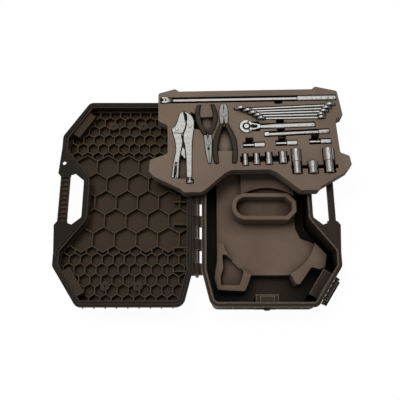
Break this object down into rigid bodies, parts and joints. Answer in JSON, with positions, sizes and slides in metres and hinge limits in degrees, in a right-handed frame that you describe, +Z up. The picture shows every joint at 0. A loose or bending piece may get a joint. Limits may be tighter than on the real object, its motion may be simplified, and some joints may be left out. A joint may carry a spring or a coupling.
{
  "type": "hard tool case",
  "caption": "Hinged moulded tool case lying open: honeycomb lid, foam-lined base, corner latches, split grip, and a foam tray of fitted hand tools",
  "frame": {"origin": "middle of the flat underside of the base shell", "axes": "+Z up, +X from the hinge towards the base's grip, +Y along the hinge away from the viewer of the picture"},
  "size_m": [0.7387, 0.5741, 0.133],
  "materials": {
    "case_plastic": "moulded, fine grain",
    "tray_foam": "closed-cell foam, matt",
    "base_foam": "closed-cell foam, matt",
    "seal_rubber": "soft rubber",
    "foot_rubber": "rubber",
    "grip_dip": "dipped rubber",
    "chrome": "polished",
    "steel": "brushed"
  },
  "bodies": {
    "base": {"base_shell": "case_plastic", "hinge_pin": "steel", "latch_pin_far": "steel", "latch_pin_near": "steel", "valve_seal": "seal_rubber", "valve_nut": "case_plastic", "base_foam": "base_foam"},
    "lid": {"lid_shell": "case_plastic", "rim_seal": "seal_rubber", "lid_feet": "foot_rubber", "lid_foot_screws": "steel"},
    "latch_far": {"latch_far": "case_plastic"},
    "latch_near": {"latch_near": "case_plastic"},
    "valve": {"valve_knob": "case_plastic"},
    "tray": {"tool_tray": "tray_foam", "small_socket_1": "chrome", "small_socket_2": "chrome", "small_socket_3": "chrome", "small_socket_4": "chrome", "deep_socket_1": "chrome", "short_socket": "chrome", "deep_socket_2": "chrome", "bit_socket_1": "chrome", "bit_socket_2": "chrome", "bit_socket_3": "chrome", "wrench_1": "chrome", "wrench_2": "chrome", "wrench_3": "chrome", "wrench_4": "chrome", "wrench_5": "chrome", "breaker_bar": "chrome", "breaker_pin": "steel", "ratchet_body": "chrome", "ratchet_screws": "steel", "extension_bar": "chrome", "long_nose_left": "chrome", "long_nose_right": "chrome", "long_nose_grip_left": "grip_dip", "long_nose_grip_right": "grip_dip", "long_nose_rivet": "steel", "cutters_left": "chrome", "cutters_right": "chrome", "cutters_grip_left": "grip_dip", "cutters_grip_right": "grip_dip", "cutters_rivet": "steel", "locking_body": "chrome", "locking_jaw": "chrome", "locking_lever": "chrome", "locking_release": "steel", "locking_rivets": "steel", "locking_screw": "chrome"},
    "breaker_tip": {"breaker_head": "chrome"},
    "ratchet_gear": {"ratchet_drive": "chrome"},
    "ratchet_switch": {"ratchet_lever": "chrome"}
  },
  "joints": [
    {"name": "lid_hinge", "type": "hinge", "parent": "base", "child": "lid", "pos_m": [-0.18, 0, 0.088], "axis": [0, 1, 0], "range_deg": [0, 180]},
    {"name": "tray_lift", "type": "slide", "parent": "base", "child": "tray", "axis": [0, 0, 1], "range_m": [0, 0.853]},
    {"name": "latch_far_turn", "type": "hinge", "parent": "base", "child": "latch_far", "pos_m": [0.14286, 0.22583, 0.07], "axis": [0.5468, -0.8373, 0], "range_deg": [0, 100]},
    {"name": "latch_near_turn", "type": "hinge", "parent": "base", "child": "latch_near", "pos_m": [0.14286, -0.22583, 0.07], "axis": [-0.5468, -0.8373, 0], "range_deg": [0, 180]},
    {"name": "valve_turn", "type": "hinge", "parent": "base", "child": "valve", "pos_m": [-0.013, -0.266, 0.058], "axis": [0, -1, 0], "range_deg": [0, 180]},
    {"name": "breaker_head_tip", "type": "hinge", "parent": "tray", "child": "breaker_tip", "pos_m": [-0.26578, 0.25855, 0.1188], "axis": [-0.0209, 0.9998, 0], "range_deg": [0, 10]},
    {"name": "ratchet_spin", "type": "hinge", "parent": "tray", "child": "ratchet_gear", "pos_m": [-0.05465, 0.18289, 0.12], "axis": [0, 0, 1], "continuous": true},
    {"name": "ratchet_lever_flip", "type": "hinge", "parent": "tray", "child": "ratchet_switch", "pos_m": [-0.03979, 0.18346, 0.13], "axis": [0, 0, 1], "range_deg": [-20, 20]}
  ],
  "couplings": [
    {"joint": "tray_lift", "follows": "lid_hinge", "m_per_rad": 0.2712}
  ]
}
